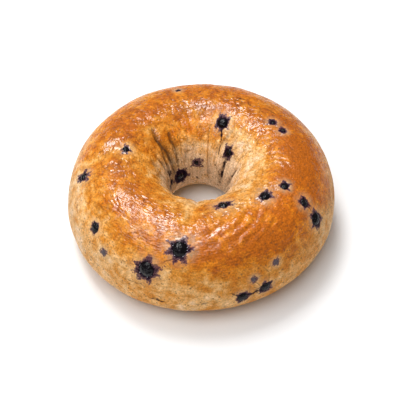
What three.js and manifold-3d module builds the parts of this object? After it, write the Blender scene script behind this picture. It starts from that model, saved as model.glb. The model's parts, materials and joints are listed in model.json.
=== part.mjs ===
// A berry bagel, baked and whole: one ring of dough with a hole through it, and the berries baked into its crust.
// Units are millimetres and degrees. +Z is up, and the origin is the centre of the flat base that the bagel rests on.
// A place on the crust is a pair of angles. Ring goes round the hole, from +X towards +Y. Tube goes round the dough,
// from 0 at the outermost level over 90 at the crown to 180 inside the hole, and -90 is the middle of the base.

import * as THREE from "three";
import { mergeVertices } from "three/addons/utils/BufferGeometryUtils.js";
import Module from "manifold-3d";

// Driving dimensions of the dough
const OUTER_RADIUS = 54;
const HOLE_RADIUS = 11.9;
const HEIGHT = 38.5;
const WIDEST_LEVEL = 13.2;
const CROWN_SHARE = 0.5;
const TOP_FULLNESS = 2.16;
const BASE_FULLNESS = 2.14;
const BASE_SETTLING = 1.2;
const RING_STEPS = 112;
const TUBE_STEPS = 32;
const CROWN_CROWDING = 0.25;

// Slow unevenness of hand-rolled dough: waves round the ring, height in mm and the ring angle of a crest
const RIM_LOBES = [
  { waves: 2, height: 0.4, crest: 50 },
  { waves: 3, height: 0.2, crest: -17 },
];
const HOLE_LOBES = [{ waves: 1, height: 0.8, crest: 186 }];
const CROWN_LOBES = [
  { waves: 1, height: 0.2, crest: 27 },
  { waves: 2, height: 0.4, crest: 15 },
];

// Creases in the crust, each from one place to another as [ring, tube], with its depth and half width in mm.
// A negative depth is a raised fold.
const CREASES = [
  // The pinched joint where the two ends of the dough rope meet
  { from: [265, 98], to: [266, 150], depth: 0.9, width: 1.6 },
  { from: [262, 82], to: [265, 98], depth: 0.4, width: 2.4 },
  // The broad valley between the two swells on the left
  { from: [174, 100], to: [180, 76], depth: 0.7, width: 4.0 },
  { from: [180, 76], to: [191, 42], depth: 0.6, width: 4.0 },
  { from: [163, 88], to: [169, 60], depth: -0.4, width: 4.5 },
  // The shoulder where the crown of the far side turns into the hole
  { from: [115, 112], to: [93, 116], depth: 0.4, width: 1.9 },
  { from: [93, 116], to: [74, 104], depth: 0.4, width: 1.9 },
  // Gathered creases on the far left wall of the hole
  { from: [141, 112], to: [145, 166], depth: 0.9, width: 1.0 },
  { from: [131, 122], to: [133, 168], depth: 0.9, width: 0.9 },
  { from: [152, 136], to: [156, 164], depth: 0.6, width: 1.0 },
  { from: [122, 128], to: [120, 168], depth: 0.4, width: 0.9 },
  // Folds on the far right wall of the hole
  { from: [66, 130], to: [61, 152], depth: 0.5, width: 0.8 },
  { from: [50, 154], to: [50, 180], depth: 1.0, width: 1.0 },
  { from: [10, 142], to: [18, 160], depth: 0.9, width: 0.9 },
  { from: [18, 162], to: [20, 178], depth: 0.7, width: 0.9 },
  // Folds on the near wall of the hole
  { from: [212, 128], to: [214, 172], depth: 0.6, width: 0.9 },
  { from: [236, 124], to: [240, 170], depth: 0.7, width: 0.9 },
  { from: [288, 126], to: [284, 172], depth: 0.8, width: 0.9 },
  { from: [312, 122], to: [308, 168], depth: 0.6, width: 0.9 },
  { from: [338, 126], to: [340, 170], depth: 0.5, width: 0.9 },
  // Short diagonal puckers across the near crown
  { from: [277, 90], to: [268, 60], depth: 0.35, width: 1.5 },
  { from: [286, 90], to: [276, 58], depth: 0.35, width: 1.5 },
  { from: [295, 88], to: [285, 62], depth: 0.3, width: 1.5 },
];

// Berries in the crust: place as [ring, tube], radius in mm and how much of the berry stands proud of the dough
const CLEARANCE = 0.3;
const BERRY_FLATNESS = 0.88;
const LARGE_BERRY = 3.5;
const BERRIES = [
  // Shown on the near side
  { at: [260, 57], radius: 3.7, proud: 1.5 },
  { at: [247, 30], radius: 3.7, proud: 1.4 },
  { at: [288, 105], radius: 2.4, proud: 0.7 },
  { at: [318, 90], radius: 2.8, proud: 1.0 },
  { at: [332, 82], radius: 2.6, proud: 0.9 },
  { at: [331, 56], radius: 2.4, proud: 0.6 },
  { at: [331, 34], radius: 3.1, proud: 1.0 },
  { at: [297, 5], radius: 3.0, proud: 0.8 },
  { at: [287, 2], radius: 3.0, proud: 0.8 },
  { at: [217, 39], radius: 2.6, proud: 0.7 },
  { at: [226, 25], radius: 2.5, proud: 0.4 },
  { at: [303, 27], radius: 2.3, proud: 0.4 },
  { at: [292, 19], radius: 2.3, proud: 0.4 },
  // Shown on the left and the far crown
  { at: [189, 51], radius: 3.1, proud: 0.8 },
  { at: [174, 99], radius: 2.9, proud: 0.9 },
  { at: [67, 118], radius: 3.1, proud: 1.2 },
  { at: [31, 88], radius: 2.2, proud: 0.4 },
  { at: [21, 85], radius: 2.2, proud: 0.4 },
  { at: [104, 74], radius: 2.2, proud: 0.2 },
  // Shown inside the hole
  { at: [43, 144], radius: 2.6, proud: 0.7 },
  { at: [98, 164], radius: 2.2, proud: 0.5 },
  { at: [132, 174], radius: 2.8, proud: 0.7 },
  // Round the far side and low on the rim, where the view doesn't reach
  { at: [58, 18], radius: 2.8, proud: 0.9 },
  { at: [86, 22], radius: 3.3, proud: 1.2 },
  { at: [128, 30], radius: 2.7, proud: 0.8 },
  { at: [30, 6], radius: 3.0, proud: 1.0 },
  { at: [156, 4], radius: 2.5, proud: 0.6 },
  { at: [108, -20], radius: 2.6, proud: 0.5 },
];

const radians = THREE.MathUtils.degToRad;

// Sum of the slow waves at a ring angle in radians.
function lobes(list, ring) {
  return list.reduce((sum, l) => sum + l.height * Math.cos(l.waves * (ring - radians(l.crest))), 0);
}

// A number raised to a power with its sign kept, which rounds a superellipse.
function signedPower(value, power) {
  return Math.sign(value) * Math.abs(value) ** power;
}

// The cross-section without creases: four quarter superellipses that meet at the crown, rim, base and hole.
function section(ring, tube) {
  const outer = OUTER_RADIUS + lobes(RIM_LOBES, ring);
  const inner = HOLE_RADIUS + lobes(HOLE_LOBES, ring);
  const core = inner + (outer - inner) * CROWN_SHARE;
  const across = Math.cos(tube);
  const upward = Math.sin(tube);
  const crownRise = HEIGHT + lobes(CROWN_LOBES, ring) - WIDEST_LEVEL;
  const width = across > 0 ? outer - core : core - inner;
  const rise = upward > 0 ? crownRise : WIDEST_LEVEL + BASE_SETTLING;
  const power = 2 / (upward > 0 ? TOP_FULLNESS : BASE_FULLNESS);
  return {
    core,
    radius: core + width * signedPower(across, power),
    level: WIDEST_LEVEL + rise * signedPower(upward, power),
  };
}

// The smaller way round between two angles in radians.
function turn(angle) {
  return angle - 2 * Math.PI * Math.round(angle / (2 * Math.PI));
}

// How deep the creases are at a place: each is a rounded groove round the line between its ends, measured in mm.
function creaseDepth(ring, tube, radius) {
  const scale = new THREE.Vector2(radius, (OUTER_RADIUS - HOLE_RADIUS) / 2);
  return CREASES.reduce((sum, crease) => {
    const [from, to] = [crease.from, crease.to].map(([r, t]) => new THREE.Vector2(radians(r), radians(t)));
    const along = to.clone().sub(from).multiply(scale);
    const start = new THREE.Vector2(turn(from.x - ring), turn(from.y - tube)).multiply(scale);
    const share = THREE.MathUtils.clamp(-start.dot(along) / along.lengthSq(), 0, 1);
    const distance = start.addScaledVector(along, share).length();
    return sum + crease.depth * Math.exp(-((distance / crease.width) ** 2));
  }, 0);
}

// A point of the crust: the section with its creases pressed towards the core, and cut off flat at the base.
function crustPoint(ring, tube) {
  const { core, radius, level } = section(ring, tube);
  const outward = new THREE.Vector2(radius - core, level - WIDEST_LEVEL).normalize();
  const depth = creaseDepth(ring, tube, radius);
  const r = radius - outward.x * depth;
  const z = Math.max(level - outward.y * depth, 0);
  return new THREE.Vector3(Math.cos(ring) * r, Math.sin(ring) * r, z);
}

// The outward direction of the crust at a place, from its slopes both ways.
function crustNormal(ring, tube) {
  const step = radians(1);
  const round = crustPoint(ring + step, tube).sub(crustPoint(ring - step, tube));
  const over = crustPoint(ring, tube + step).sub(crustPoint(ring, tube - step));
  return round.cross(over).normalize();
}

// The closed skin of the ring, as a grid that joins itself both ways. Its tube steps are closer together at the
// crown than at the base.
function crustGeometry() {
  const corners = [];
  for (let i = 0; i < RING_STEPS; i++) {
    for (let j = 0; j < TUBE_STEPS; j++) {
      const [ring, tube] = [i / RING_STEPS, j / TUBE_STEPS].map((share) => share * 2 * Math.PI);
      corners.push(...crustPoint(ring, tube + CROWN_CROWDING * Math.cos(tube)).toArray());
    }
  }
  const faces = [];
  const corner = (i, j) => (i % RING_STEPS) * TUBE_STEPS + (j % TUBE_STEPS);
  for (let i = 0; i < RING_STEPS; i++) {
    for (let j = 0; j < TUBE_STEPS; j++) {
      const [a, b, c, d] = [corner(i, j), corner(i + 1, j), corner(i + 1, j + 1), corner(i, j + 1)];
      faces.push(a, b, c, a, c, d);
    }
  }
  return new THREE.BufferGeometry()
    .setAttribute("position", new THREE.Float32BufferAttribute(corners, 3))
    .setIndex(faces);
}

// A berry, or the pit round it when grown by the clearance: a ball flattened along the crust's outward direction.
function berryGeometry(berry, grown = 0) {
  const [ring, tube] = berry.at.map(radians);
  const outward = crustNormal(ring, tube);
  const ball = new THREE.IcosahedronGeometry(berry.radius + grown, berry.radius > LARGE_BERRY ? 2 : 1);
  const halfHeight = berry.radius * BERRY_FLATNESS;
  const centre = crustPoint(ring, tube).addScaledVector(outward, berry.proud - halfHeight);
  ball.scale(1, (halfHeight + grown) / (berry.radius + grown), 1);
  ball.applyQuaternion(new THREE.Quaternion().setFromUnitVectors(new THREE.Vector3(0, 1, 0), outward));
  return ball.translate(centre.x, centre.y, centre.z);
}

const wasm = await Module();
wasm.setup();

// A three.js geometry as a solid that can be cut.
function toSolid(geometry) {
  const bare = new THREE.BufferGeometry()
    .setAttribute("position", geometry.getAttribute("position"))
    .setIndex(geometry.index);
  const merged = mergeVertices(bare, 1e-3);
  return new wasm.Manifold(
    new wasm.Mesh({
      numProp: 3,
      vertProperties: merged.attributes.position.array,
      triVerts: new Uint32Array(merged.index.array),
    }),
  );
}

// A cut solid back as a three.js geometry.
function toGeometry(solid) {
  const mesh = solid.getMesh();
  const geometry = new THREE.BufferGeometry()
    .setAttribute("position", new THREE.BufferAttribute(new Float32Array(mesh.vertProperties), 3))
    .setIndex(new THREE.BufferAttribute(new Uint32Array(mesh.triVerts), 1));
  geometry.computeVertexNormals();
  return geometry;
}

const crustFinish = new THREE.MeshStandardMaterial({ color: 0xd08a45, roughness: 0.42, metalness: 0 });
const berryFinish = new THREE.MeshStandardMaterial({ color: 0x17121c, roughness: 0.3, metalness: 0 });

function namedMesh(name, geometry, finish) {
  const mesh = new THREE.Mesh(geometry, finish);
  mesh.name = name;
  return mesh;
}

const dough = BERRIES.reduce(
  (left, berry) => left.subtract(toSolid(berryGeometry(berry, CLEARANCE))),
  toSolid(crustGeometry()),
);

const bagel = new THREE.Group();
bagel.add(namedMesh("dough", toGeometry(dough), crustFinish));
BERRIES.forEach((berry, index) => {
  const name = `berry_${String(index + 1).padStart(2, "0")}`;
  bagel.add(namedMesh(name, berryGeometry(berry), berryFinish));
});

export default bagel;
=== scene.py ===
"""Dresses the berry bagel: its crust and its berries, on a plain white floor under two soft lights.

A place on the crust is a pair of angles in degrees. Ring goes round the hole, from +X towards +Y. Tube
goes round the dough, from 0 at the outermost level over 90 at the crown to 180 inside the hole, and -90 is
the middle of the base. Lengths are in millimetres until a mesh is made, and in metres from there on.
"""

import json
import logging
import math
from dataclasses import dataclass, field
from enum import Enum
from typing import Any, Optional, Sequence, Union

import bpy
import numpy as np
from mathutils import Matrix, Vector

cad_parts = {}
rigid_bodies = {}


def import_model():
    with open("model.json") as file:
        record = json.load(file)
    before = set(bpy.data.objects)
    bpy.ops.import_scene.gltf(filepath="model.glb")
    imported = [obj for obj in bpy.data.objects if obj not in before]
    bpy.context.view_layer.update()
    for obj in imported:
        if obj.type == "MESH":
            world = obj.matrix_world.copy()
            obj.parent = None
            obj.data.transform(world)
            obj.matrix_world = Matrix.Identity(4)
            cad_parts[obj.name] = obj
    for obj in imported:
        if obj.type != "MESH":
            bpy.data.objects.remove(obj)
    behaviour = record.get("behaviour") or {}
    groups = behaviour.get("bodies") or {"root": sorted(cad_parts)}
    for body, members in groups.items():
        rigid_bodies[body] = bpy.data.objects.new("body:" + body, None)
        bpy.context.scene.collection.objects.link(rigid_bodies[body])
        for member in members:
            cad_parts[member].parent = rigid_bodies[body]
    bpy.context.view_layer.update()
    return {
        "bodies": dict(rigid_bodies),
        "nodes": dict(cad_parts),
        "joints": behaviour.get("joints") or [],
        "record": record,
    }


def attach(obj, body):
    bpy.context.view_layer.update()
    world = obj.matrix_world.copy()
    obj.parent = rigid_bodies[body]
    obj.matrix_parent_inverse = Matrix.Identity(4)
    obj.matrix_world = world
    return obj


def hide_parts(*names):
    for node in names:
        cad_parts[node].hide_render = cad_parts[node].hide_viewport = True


Array = np.ndarray
Colour = tuple[float, float, float]

LOG = logging.getLogger("bagel")
BODY = "root"
MM = 0.001
SEED = 7
# More than any distance over the crust, in mm
FAR = 99.0


def soft_step(low: float, high: float, value: Array) -> Array:
    """Rise smoothly from 0 at low to 1 at high, by the cubic 3t^2 - 2t^3.

    Args:
        low: Where the rise starts.
        high: Where it ends. It may be under low, and the step then falls.
        value: What is compared.

    Returns:
        An array between 0 and 1.
    """
    t = np.clip((value - low) / (high - low), 0.0, 1.0)
    return t * t * (3.0 - 2.0 * t)


def turned(angle: Array) -> Array:
    """Take the smaller way round for an angle in degrees."""
    return angle - 360.0 * np.round(angle / 360.0)


def lengths(vectors: Array) -> Array:
    """Measure vectors along their last axis."""
    return np.sqrt((vectors * vectors).sum(axis=-1))


def unit(vectors: Array) -> Array:
    """Scale vectors to length 1 along their last axis."""
    return vectors / np.maximum(lengths(vectors)[..., None], 1e-12)


class Grain:
    """Seeded gradient noise in space: smooth between whole-number corners, and about -1 to 1."""

    TABLE = 256

    def __init__(self, seed: int) -> None:
        """Draw the shuffled order of the corners and a slope for each.

        Args:
            seed: The draw's seed.
        """
        draw = np.random.default_rng(seed)
        self.order = np.tile(draw.permutation(self.TABLE), 3)
        self.slopes = unit(draw.normal(size=(self.TABLE, 3)))

    def __call__(self, points: Array) -> Array:
        """Read the noise at places.

        It is each corner's slope times the way to it, blended by the quintic 6t^5 - 15t^4 + 10t^3.

        Args:
            points: Places, with x, y and z along the last axis, one unit to a cell.

        Returns:
            One value for each point.
        """
        cell = np.floor(points).astype(int)
        inside = points - cell
        blend = inside**3 * (inside * (inside * 6.0 - 15.0) + 10.0)
        cell %= self.TABLE
        total = np.zeros(points.shape[:-1])
        for corner in np.ndindex(2, 2, 2):
            x, y, z = ((cell[..., axis] + corner[axis]) % self.TABLE for axis in range(3))
            slope = self.slopes[self.order[self.order[self.order[x] + y] + z]]
            weight = np.prod(np.where(np.array(corner, bool), blend, 1.0 - blend), axis=-1)
            total += weight * ((inside - np.array(corner)) * slope).sum(axis=-1)
        return total * 1.6

    def layers(self, points: Array, count: int = 3, gain: float = 0.5) -> Array:
        """Add finer and weaker copies of the noise, each twice as fine as the one before."""
        return sum(self(points * 2.0**k + 17.3 * k) * gain**k for k in range(count))


@dataclass(frozen=True)
class Wave:
    """One slow wave round the ring: how many crests, how high and where one of them stands."""

    crests: int
    height: float
    at: float

    def __call__(self, ring: Array) -> Array:
        """Height in mm at ring angles in degrees, as a cosine."""
        return self.height * np.cos(np.radians(self.crests * (ring - self.at)))


@dataclass(frozen=True)
class Line:
    """A thin drawn mark between two places, such as a crack or a thread of juice.

    Attributes:
        start: The ring and tube angles where it starts.
        end: Those where it ends.
        strength: How dark it is, up to 1.
        width: Half its width in mm.
    """

    start: tuple[float, float]
    end: tuple[float, float]
    strength: float = 0.0
    width: float = 0.0


@dataclass(frozen=True)
class Fold:
    """A crease in the crust that passes through several places.

    Attributes:
        places: Their ring and tube angles.
        depth: How deep it is in mm.
        width: Half its width in mm.
        dark: How dark the painted shade line along its bottom is, up to 1.
    """

    places: tuple[tuple[float, float], ...]
    depth: float
    width: float
    dark: float = 0.0

    def lines(self) -> list[Line]:
        """Split it into straight lines from place to place."""
        half = min(0.40 * self.width, 0.42)
        return [Line(start, end, self.dark, half) for start, end in zip(self.places, self.places[1:])]


@dataclass(frozen=True)
class Patch:
    """A soft oval on the crust: its middle and its reach round ring and tube in degrees, and its strength."""

    ring: float
    tube: float
    ring_reach: float
    tube_reach: float
    strength: float

    def __call__(self, ring: Array, tube: Array) -> Array:
        """Strength times a bell curve of the distance from the middle, counted in reaches."""
        across = turned(ring - self.ring) / self.ring_reach
        along = turned(tube - self.tube) / self.tube_reach
        return self.strength * np.exp(-(across**2) - along**2)


@dataclass(frozen=True)
class Band:
    """A soft band all round the crust: the tube angles where it starts, is full, starts to fade and ends."""

    start: float
    full: float
    fading: float
    end: float

    def __call__(self, tube: Array) -> Array:
        """Rise from 0 to 1 at the band's start and fall back at its end."""
        return soft_step(self.start, self.full, tube) * soft_step(self.end, self.fading, tube)


@dataclass(frozen=True)
class Puckers:
    """Side-by-side folds in an oval of crust.

    Attributes:
        ring: The ring angle of the oval's middle.
        tube: The tube angle of its middle.
        ring_reach: How far it reaches round the ring, in degrees.
        tube_reach: How far it reaches over the tube, in degrees.
        heading: Where the folds run, in degrees from the ring's direction towards the crown.
        spacing: From fold to fold, in mm.
        height: How high the folds are, in mm.
        bend: How much they bow, in mm for each mm along them squared.
    """

    ring: float
    tube: float
    ring_reach: float
    tube_reach: float
    heading: float
    spacing: float
    height: float
    bend: float = 0.0

    def window(self, ring: Array, tube: Array) -> Array:
        """Tell where the folds are: 1 in the oval's middle, and less by a bell curve away from it."""
        return Patch(self.ring, self.tube, self.ring_reach, self.tube_reach, 1.0)(ring, tube)


@dataclass
class Skin:
    """The crust worked out on its grid: places, points, outward directions and what varies over it."""

    ring: Array
    tube: Array
    points: Array
    outward: Array
    fields: dict[str, Array] = field(default_factory=dict)


@dataclass
class Dough:
    """The ring of dough. Its section is four quarter superellipses, cut off flat at the base.

    Attributes:
        outer_radius: From the middle to the outer side, in mm, as are the next three.
        hole_radius: From the middle to the hole's wall.
        height: From the base to the crown.
        widest_level: From the base to where the dough is widest.
        crown_share: Where the crown is, as a share of the way from the hole's wall to the outer side.
        top_fullness: The superellipses' exponent over the widest level.
        base_fullness: That under it.
        base_settling: How far the section goes on below the flat base, in mm.
        ring_steps: Corners round the ring.
        tube_steps: Corners over the tube.
        crown_crowding: How much closer together they are at the crown.
        rim_waves: What varies round the ring on the outer radius.
        hole_waves: The same on the hole's radius.
        crown_waves: The same on the height.
    """

    outer_radius: float = 54.0
    hole_radius: float = 11.9
    height: float = 38.5
    widest_level: float = 13.2
    crown_share: float = 0.5
    top_fullness: float = 2.16
    base_fullness: float = 2.14
    base_settling: float = 1.2
    ring_steps: int = 648
    tube_steps: int = 152
    crown_crowding: float = 0.32
    rim_waves: tuple[Wave, ...] = (Wave(2, 0.4, 50.0), Wave(3, 0.2, -17.0))
    hole_waves: tuple[Wave, ...] = (Wave(1, 0.8, 186.0),)
    crown_waves: tuple[Wave, ...] = (Wave(1, 0.2, 27.0), Wave(2, 0.4, 15.0))

    def section(self, ring: Array, tube: Array) -> tuple[Array, Array, Array]:
        """Work out the smooth section.

        Across the dough, half the width times |cos|^(2/n), and up, half the height times |sin|^(2/n), each
        with the sign of its own cosine or sine.

        Args:
            ring: Ring angles in degrees.
            tube: Tube angles in degrees.

        Returns:
            The core's radius, the point's radius and the point's level, in mm.
        """
        outer = self.outer_radius + sum(wave(ring) for wave in self.rim_waves)
        inner = self.hole_radius + sum(wave(ring) for wave in self.hole_waves)
        core = inner + (outer - inner) * self.crown_share
        across, upward = np.cos(np.radians(tube)), np.sin(np.radians(tube))
        crown_rise = self.height + sum(wave(ring) for wave in self.crown_waves) - self.widest_level
        width = np.where(across > 0.0, outer - core, core - inner)
        rise = np.where(upward > 0.0, crown_rise, self.widest_level + self.base_settling)
        power = 2.0 / np.where(upward > 0.0, self.top_fullness, self.base_fullness)
        radius = core + width * np.sign(across) * np.abs(across) ** power
        level = self.widest_level + rise * np.sign(upward) * np.abs(upward) ** power
        return core, radius, level

    def points(self, ring: Array, tube: Array, relief: Union[Array, float] = 0.0) -> Array:
        """Place the crust's points: the section moved out from its core, and no lower than the base.

        Args:
            ring: Ring angles in degrees.
            tube: Tube angles in degrees.
            relief: How far out each point is moved, in mm.

        Returns:
            Points with x, y and z along the last axis, in mm.
        """
        core, radius, level = self.section(ring, tube)
        out_x, out_z = radius - core, level - self.widest_level
        reach = np.maximum(np.hypot(out_x, out_z), 1e-9)
        radius = radius + relief * out_x / reach
        level = np.maximum(level + relief * out_z / reach, 0.0)
        turn = np.radians(ring)
        return np.stack([np.cos(turn) * radius, np.sin(turn) * radius, level], axis=-1)

    def grid(self) -> tuple[Array, Array]:
        """Spread the ring and tube angles of the crust's corners, the tube's closer together at the crown."""
        ring = np.arange(self.ring_steps) * 360.0 / self.ring_steps
        even = np.arange(self.tube_steps) * 360.0 / self.tube_steps - 90.0
        tube = even + np.degrees(self.crown_crowding * np.cos(np.radians(even)))
        return np.meshgrid(ring, tube, indexing="ij")


CREASES = (
    # The pinched joint where the two ends of the dough rope meet
    Fold(((262, 82), (265, 98), (266, 150)), 0.8, 1.6),
    # The broad valley between the two swells on the left
    Fold(((174, 100), (180, 76), (191, 42)), 0.7, 4.0),
    Fold(((163, 88), (169, 60)), -0.4, 4.5),
    # The shoulder where the crown of the far side turns into the hole
    Fold(((115, 112), (93, 116), (74, 104)), 0.4, 1.9),
    # Gathered creases on the far left wall of the hole, with painted shade along their bottoms
    Fold(((141, 111), (145, 124), (145, 134), (142, 144), (143, 158), (143, 174)), 1.3, 1.3, 0.85),
    Fold(((129, 124), (130, 134), (129, 140), (130, 150), (133, 164)), 1.0, 1.0, 0.7),
    Fold(((149, 136), (153, 146), (155, 156), (159, 166)), 1.0, 1.0, 0.6),
    Fold(((165, 136), (162, 146), (165, 158), (176, 168)), 0.6, 0.8, 0.45),
    Fold(((115, 148), (118, 162)), 0.4, 0.7, 0.35),
    Fold(((176, 132), (180, 146), (186, 160)), 0.5, 0.9, 0.25),
    # Folds on the far right wall of the hole, two of them with painted shade along their bottoms
    Fold(((66, 130), (61, 152)), 0.4, 0.8),
    Fold(((42, 156), (44, 166), (46, 180)), 0.9, 0.8, 0.3),
    Fold(((8, 146), (10, 162), (22, 176)), 0.9, 0.8, 0.5),
    # Folds on the near wall of the hole
    Fold(((212, 128), (214, 172)), 0.6, 0.9),
    Fold(((236, 124), (240, 170)), 0.7, 0.9),
    Fold(((288, 126), (284, 172)), 0.8, 0.9),
    Fold(((312, 122), (308, 168)), 0.6, 0.9),
    Fold(((338, 126), (340, 170)), 0.5, 0.9),
)

CRACKS = (
    # Down the hole
    Line((109, 136), (107, 150), 0.3, 0.14),
    Line((75, 150), (72, 168), 0.3, 0.12),
    Line((286, 128), (284, 150), 0.4, 0.14),
    # Low on the near side
    Line((330, -2), (318, -8), 0.8, 0.20),
    Line((216, 8), (232, 4), 0.4, 0.14),
    Line((240, 12), (246, 13), 0.7, 0.20),
)

PUCKERS = (
    Puckers(289, 76, 24, 22, 28, 3.9, 0.66),
    Puckers(300, 56, 18, 13, 26, 2.8, 0.26),
    Puckers(258, 92, 14, 14, 20, 2.2, 0.12),
    Puckers(146, 99, 13, 12, -48, 3.2, 0.26, 0.035),
    Puckers(118, 100, 20, 10, 20, 2.3, 0.16),
    Puckers(222, 84, 26, 20, -28, 2.4, 0.14),
    Puckers(20, 112, 30, 16, 68, 2.6, 0.14),
    Puckers(78, 112, 20, 12, 72, 2.2, 0.14),
    Puckers(335, 105, 22, 16, 55, 2.6, 0.12),
)


# Bands of the crust: gathers and wall in the hole, stretched skin outside, and ridges and glaze on the crown
GATHERED = Band(108, 140, 180, 200)
HOLE_WALL = Band(118, 162, 195, 225)
STRETCHED = Band(-70, -40, 30, 62)
RIDGED = Band(35, 65, 118, 150)
GLAZED = Band(18, 62, 128, 165)


@dataclass
class Shell:
    """The crust: relief, browning and stains over the dough, as one closed mesh with its own finish.

    Attributes:
        dough: The ring of dough under it.
        berries: The berries that sit in it.
        lump_height: How high its broad lumps are, in mm, as are the next five.
        dimple_height: Its smaller lumps.
        gather_height: The folds up the hole's wall.
        stretch_height: The marks of stretched skin on the outer side.
        ridge_height: The sharp ridges of the crinkled crown.
        crinkle_height: The finest crinkles.
        gather_count: How many folds go up the hole's wall.
        groove_depth: How deep the groove at a berry's edge is, in mm, as are the next four.
        groove_width: How wide it is.
        collar_height: How high the collar outside it is.
        collar_offset: How far outside the edge it stands.
        collar_width: How wide it is.
        berry_over: How far over and under a berry the crust is stained by it, in mm.
        berry_reach: How far beside it, in mm.
        line_reach: How many half-widths from a drawn line its field goes on.
        strip_gap: What stays free round each half of the map, as a share of it.
        grain: The noise that all of it is made from.
    """

    dough: Dough
    berries: Sequence["Berry"]
    lump_height: float = 0.30
    dimple_height: float = 0.14
    gather_height: float = 0.62
    stretch_height: float = 0.07
    ridge_height: float = 0.34
    crinkle_height: float = 0.09
    gather_count: float = 30.0
    groove_depth: float = 0.22
    groove_width: float = 0.35
    collar_height: float = 0.16
    collar_offset: float = 0.8
    collar_width: float = 0.55
    berry_over: float = 3.0
    berry_reach: float = 9.0
    line_reach: float = 9.0
    strip_gap: float = 0.004
    grain: Grain = field(default_factory=lambda: Grain(SEED))

    @property
    def tube_radius(self) -> float:
        """Half the width of the dough, in mm."""
        return (self.dough.outer_radius - self.dough.hole_radius) / 2.0

    def noise(self, skin: Skin, cell: float, shift: float = 0.0, layers: int = 1, gain: float = 0.5) -> Array:
        """Read noise over the crust, with cells of a size in mm and a shift that makes it its own."""
        return self.grain.layers(skin.points / cell + shift, layers, gain)

    def line_share(self, skin: Skin, line: Line) -> tuple[Array, Array, Array]:
        """Measure the crust against a line.

        Args:
            skin: The crust so far.
            line: The line.

        Returns:
            Each point's distance from the line in mm, the share of the way from start to end where it lies,
            and 1 or -1 for the side of the line it is on.
        """
        radius = np.hypot(skin.points[..., 0], skin.points[..., 1])
        scale = np.radians(np.stack([radius, np.full_like(radius, self.tube_radius)], axis=-1))
        ring_off, tube_off = turned(line.start[0] - skin.ring), turned(line.start[1] - skin.tube)
        here = np.stack([ring_off, tube_off], axis=-1) * scale
        along = (np.array(line.end, float) - np.array(line.start, float)) * scale
        share = np.clip(-(here * along).sum(axis=-1) / (along * along).sum(axis=-1), 0.0, 1.0)
        side = np.where(here[..., 0] * along[..., 1] > here[..., 1] * along[..., 0], 1.0, -1.0)
        return lengths(here + along * share[..., None]), share, side

    def drawn_lines(self, skin: Skin, lines: Sequence[Line]) -> tuple[Array, Array]:
        """Work out thin lines, which the material draws finer than the grid is.

        Args:
            skin: The crust so far.
            lines: The lines.

        Returns:
            How many half-widths each point is to the one or other side of its nearest line, and how strong
            that line is there.
        """
        nearest = np.full(skin.ring.shape, FAR)
        offset = np.full(skin.ring.shape, self.line_reach)
        strength = np.zeros(skin.ring.shape)
        for line in lines:
            distance, _, side = self.line_share(skin, line)
            closer = distance < nearest
            nearest = np.where(closer, distance, nearest)
            offset = np.where(closer, np.minimum(distance / line.width, self.line_reach) * side, offset)
            strength = np.where(closer, line.strength * soft_step(2.0, 1.2, distance), strength)
        return offset, strength

    def fold_share(self, skin: Skin, fold: Fold) -> tuple[Array, Array]:
        """Measure the crust against a fold.

        Args:
            skin: The crust so far.
            fold: The fold.

        Returns:
            Each point's distance from the fold in mm, and what share of its depth the fold has there, which
            fades at its ends.
        """
        nearest = np.full(skin.ring.shape, FAR)
        passed = np.zeros(skin.ring.shape)
        lines = fold.lines()
        for number, line in enumerate(lines):
            distance, share, _ = self.line_share(skin, line)
            passed = np.where(distance < nearest, (number + share) / len(lines), passed)
            nearest = np.minimum(nearest, distance)
        return nearest, np.minimum(1.0, 0.3 + 4.5 * passed * (1.0 - passed))

    def stretched(self, skin: Skin, round_ring: float, over_tube: float) -> Array:
        """Give noise places that pass slowly one way and fast the other, joined all round the ring.

        Args:
            skin: The crust so far.
            round_ring: Millimetres round the ring to a cell.
            over_tube: Millimetres over the tube to a cell.

        Returns:
            Places for the noise.
        """
        turn = np.radians(skin.ring)
        mean = (self.dough.outer_radius + self.dough.hole_radius) / 2.0
        over = np.radians(skin.tube) * self.tube_radius
        x, y = np.cos(turn) * mean / round_ring, np.sin(turn) * mean / round_ring
        return np.stack([x, y, over / over_tube], axis=-1)

    def pucker_relief(self, skin: Skin, folds: Puckers) -> Array:
        """Raise side-by-side folds: |sin| of the distance across them, round on top and sharp between.

        Args:
            skin: The crust so far.
            folds: The group of folds.

        Returns:
            Relief in mm.
        """
        radius = np.hypot(skin.points[..., 0], skin.points[..., 1])
        a = np.radians(turned(skin.ring - folds.ring)) * radius
        b = np.radians(turned(skin.tube - folds.tube)) * self.tube_radius
        heading = math.radians(folds.heading)
        along = a * math.cos(heading) + b * math.sin(heading)
        across = b * math.cos(heading) - a * math.sin(heading)
        wander = self.noise(skin, 11.0, folds.ring, 2) * 0.42
        phase = (across + folds.bend * along**2) / folds.spacing + wander
        window = folds.window(skin.ring, skin.tube)
        broken = np.clip(0.75 + 0.9 * self.noise(skin, 4.5, 40.0), 0.1, 1.4)
        return folds.height * (np.abs(np.sin(np.pi * phase)) - 0.55) * window * broken

    def gathers(self, skin: Skin) -> tuple[Array, Array]:
        """Work out the gathers of the hole: folds up its wall, crowded where the noise pushes them together.

        Args:
            skin: The crust so far.

        Returns:
            The folds, 0 in their bottoms and 1 on top, and how strong they are.
        """
        low = self.grain(self.stretched(skin, 14.0, 16.0)) * 1.3
        fine = self.grain(self.stretched(skin, 5.0, 14.0) + 9.0) * 0.5
        phase = self.gather_count * skin.ring / 360.0 + low + fine
        strength = np.clip(0.7 + 0.9 * self.grain(self.stretched(skin, 9.0, 20.0) + 31.0), 0.15, 1.3)
        return np.abs(np.sin(np.pi * phase)), GATHERED(skin.tube) * strength

    def stretch_marks(self, skin: Skin) -> Array:
        """Draw the marks of stretched skin, which follow the ring on the outer side: -1 to 1."""
        return self.grain.layers(self.stretched(skin, 16.0, 1.9), 2, 0.6)

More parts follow.
